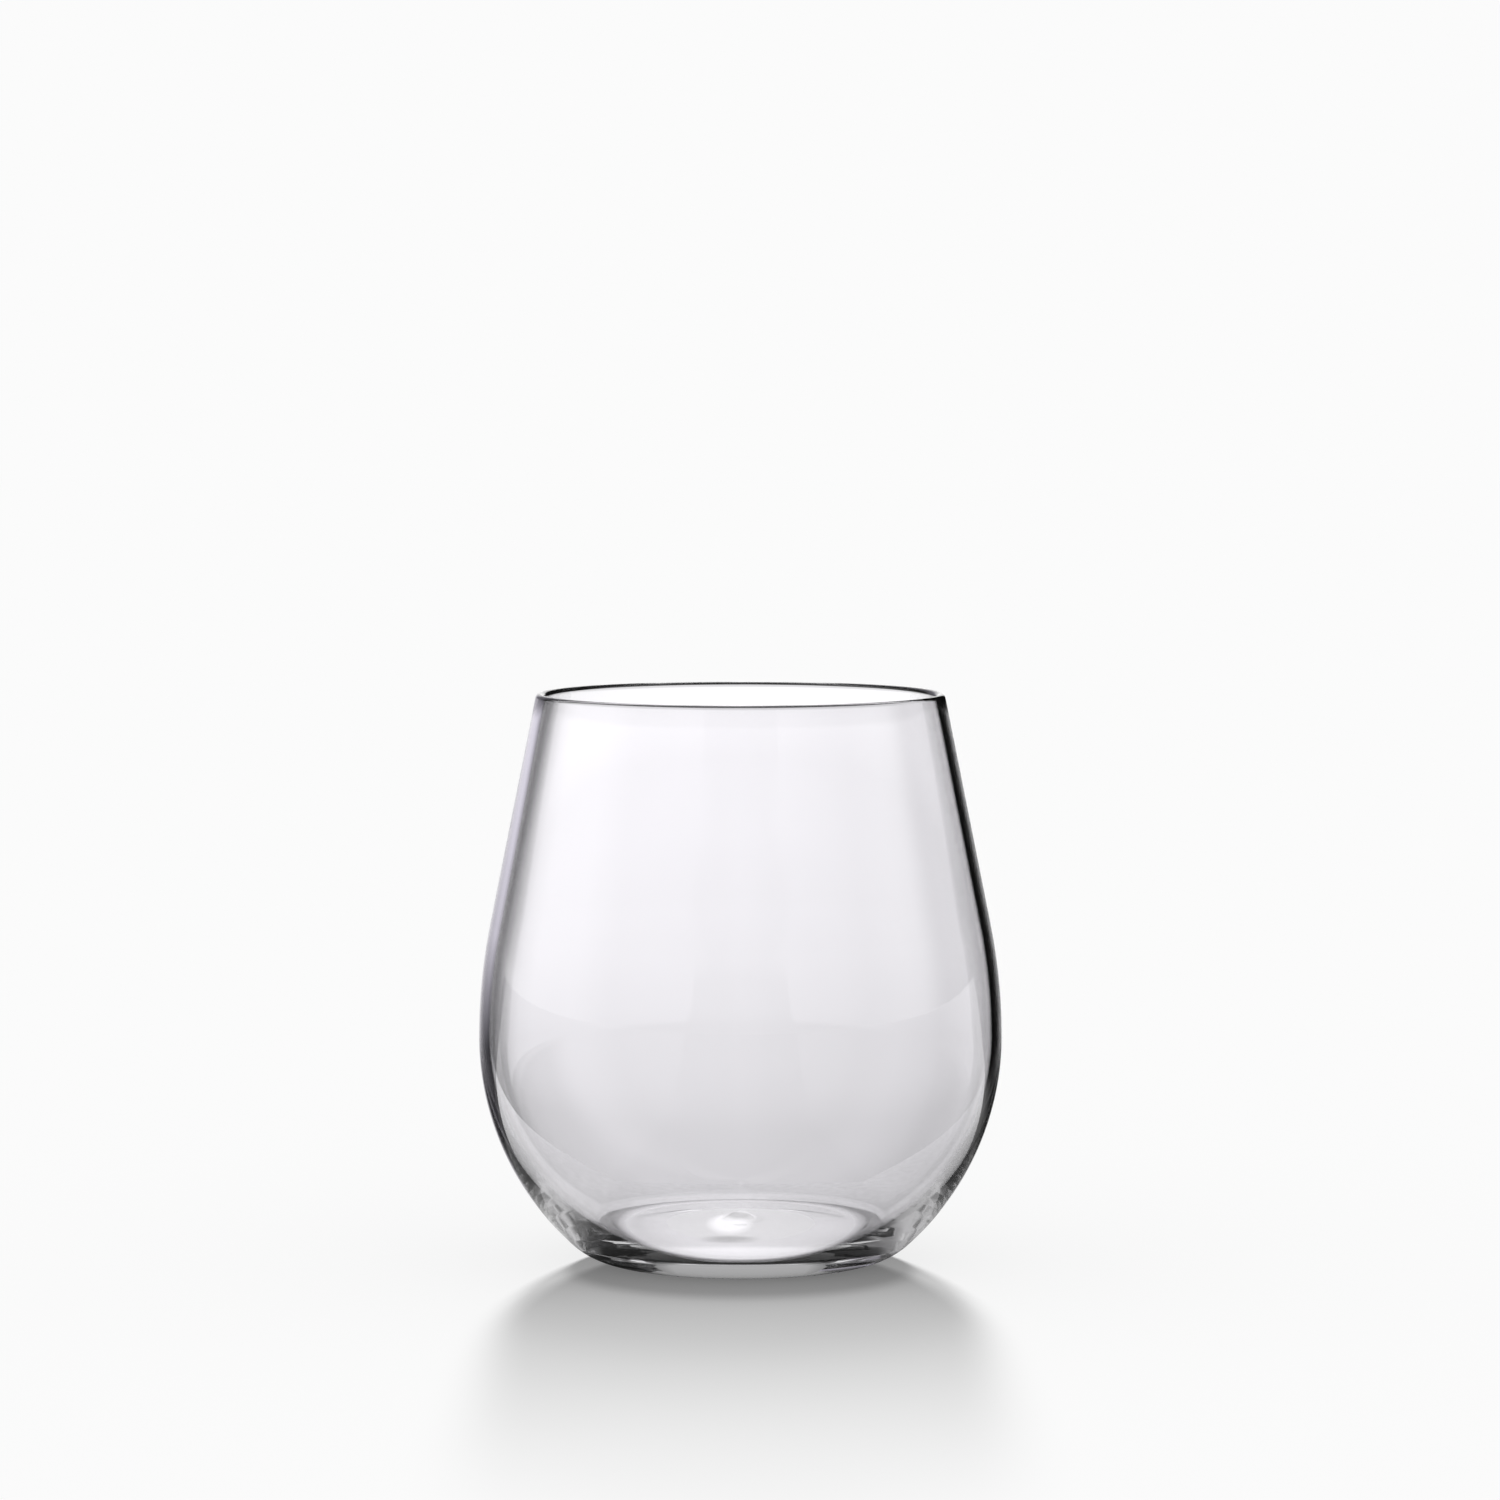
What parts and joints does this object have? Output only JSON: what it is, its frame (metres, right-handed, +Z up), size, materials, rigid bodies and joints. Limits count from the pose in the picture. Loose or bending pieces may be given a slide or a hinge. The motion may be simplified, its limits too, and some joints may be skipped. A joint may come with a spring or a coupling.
{
  "type": "stemless wine glass",
  "caption": "Clear stemless wine glass: a rounded bowl that draws in to a plain rounded rim, on a flat foot. It holds a drink and stands by itself.",
  "frame": {"origin": "middle of the foot, on the table", "axes": "+Z up along the glass's axis to the mouth; the glass is round, so +X and +Y are any two level directions"},
  "size_m": [0.092, 0.092, 0.1],
  "materials": {
    "clear_glass": "clear, polished"
  },
  "bodies": {
    "root": {"bowl": "clear_glass", "base": "clear_glass"}
  },
  "joints": []
}
